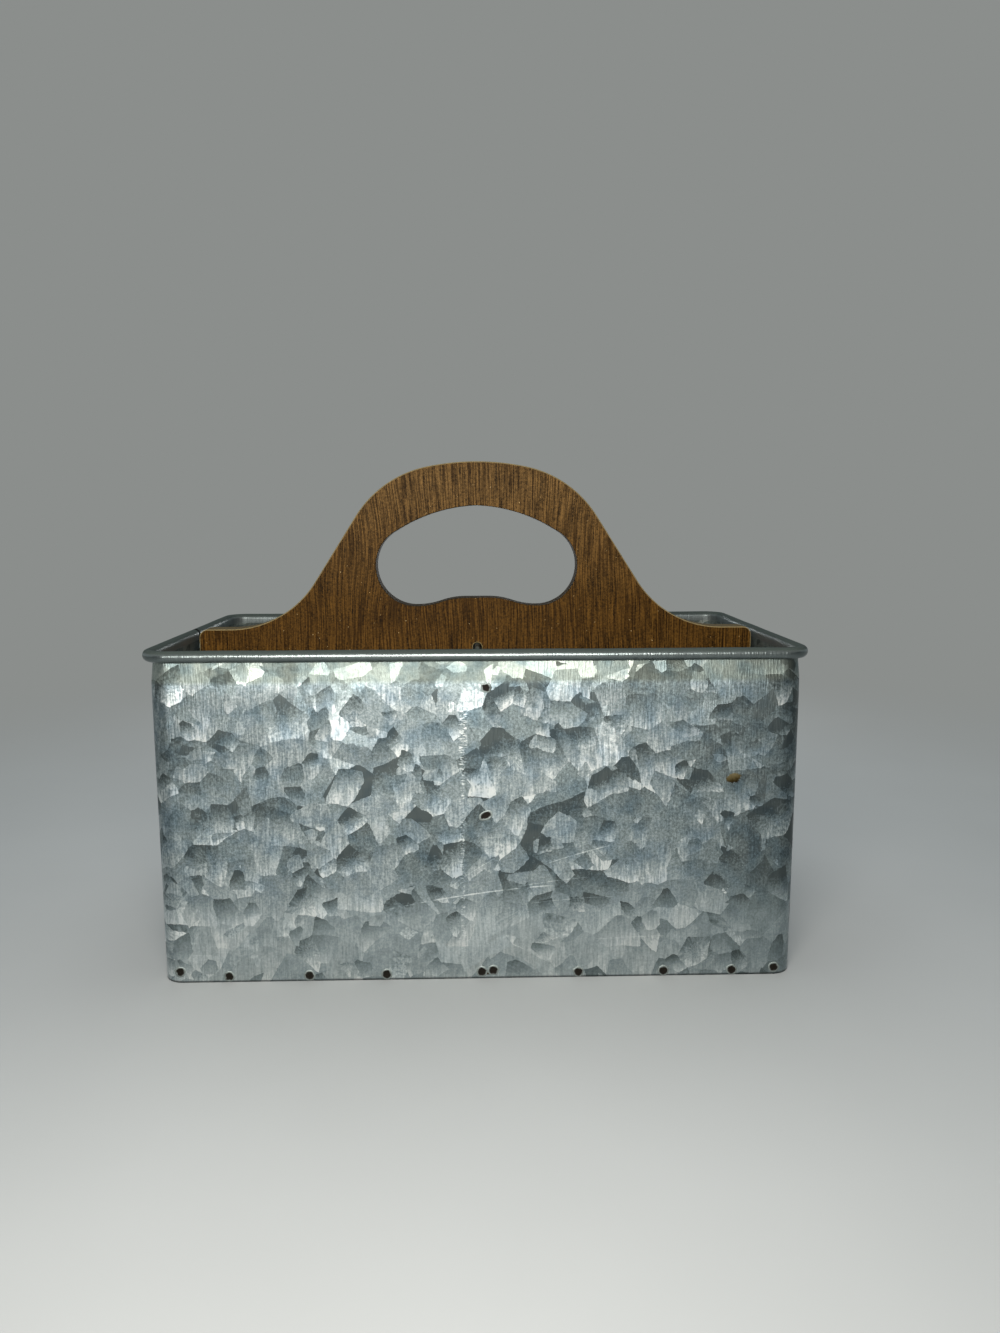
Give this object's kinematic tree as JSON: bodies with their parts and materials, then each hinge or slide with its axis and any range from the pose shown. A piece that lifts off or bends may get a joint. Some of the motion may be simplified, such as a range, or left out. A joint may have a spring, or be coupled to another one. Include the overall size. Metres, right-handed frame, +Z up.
{
  "type": "galvanized tote",
  "caption": "Open galvanized sheet-steel tote with a rolled wired rim, a cross divider and a lengthwise wooden handle board with a hand hole, giving separate compartments.",
  "frame": {"origin": "middle of the footprint on the ground, below the middle of the hand hole", "axes": "+X along the tote and the handle board, +Y across it from the front wall to the rear wall, +Z up"},
  "size_m": [0.28, 0.16, 0.224],
  "materials": {
    "galvanized_sheet": "hot-dip galvanized, large crossing spangles, semi-matt",
    "steel_wire": "plain galvanized wire, inside the rim",
    "base_sheet": "hot-dip galvanized, spangled, a little duller",
    "divider_sheet": "hot-dip galvanized, spangled",
    "board": "dark walnut-grain face, satin, with darker cut edges",
    "screw": "bright zinc plated"
  },
  "bodies": {
    "root": {"wall_band": "galvanized_sheet", "rim_wire": "steel_wire", "base_pan": "base_sheet", "cross_divider": "divider_sheet", "handle_board": "board", "base_screw_1": "screw", "base_screw_2": "screw", "base_screw_3": "screw", "base_screw_4": "screw"}
  },
  "joints": []
}
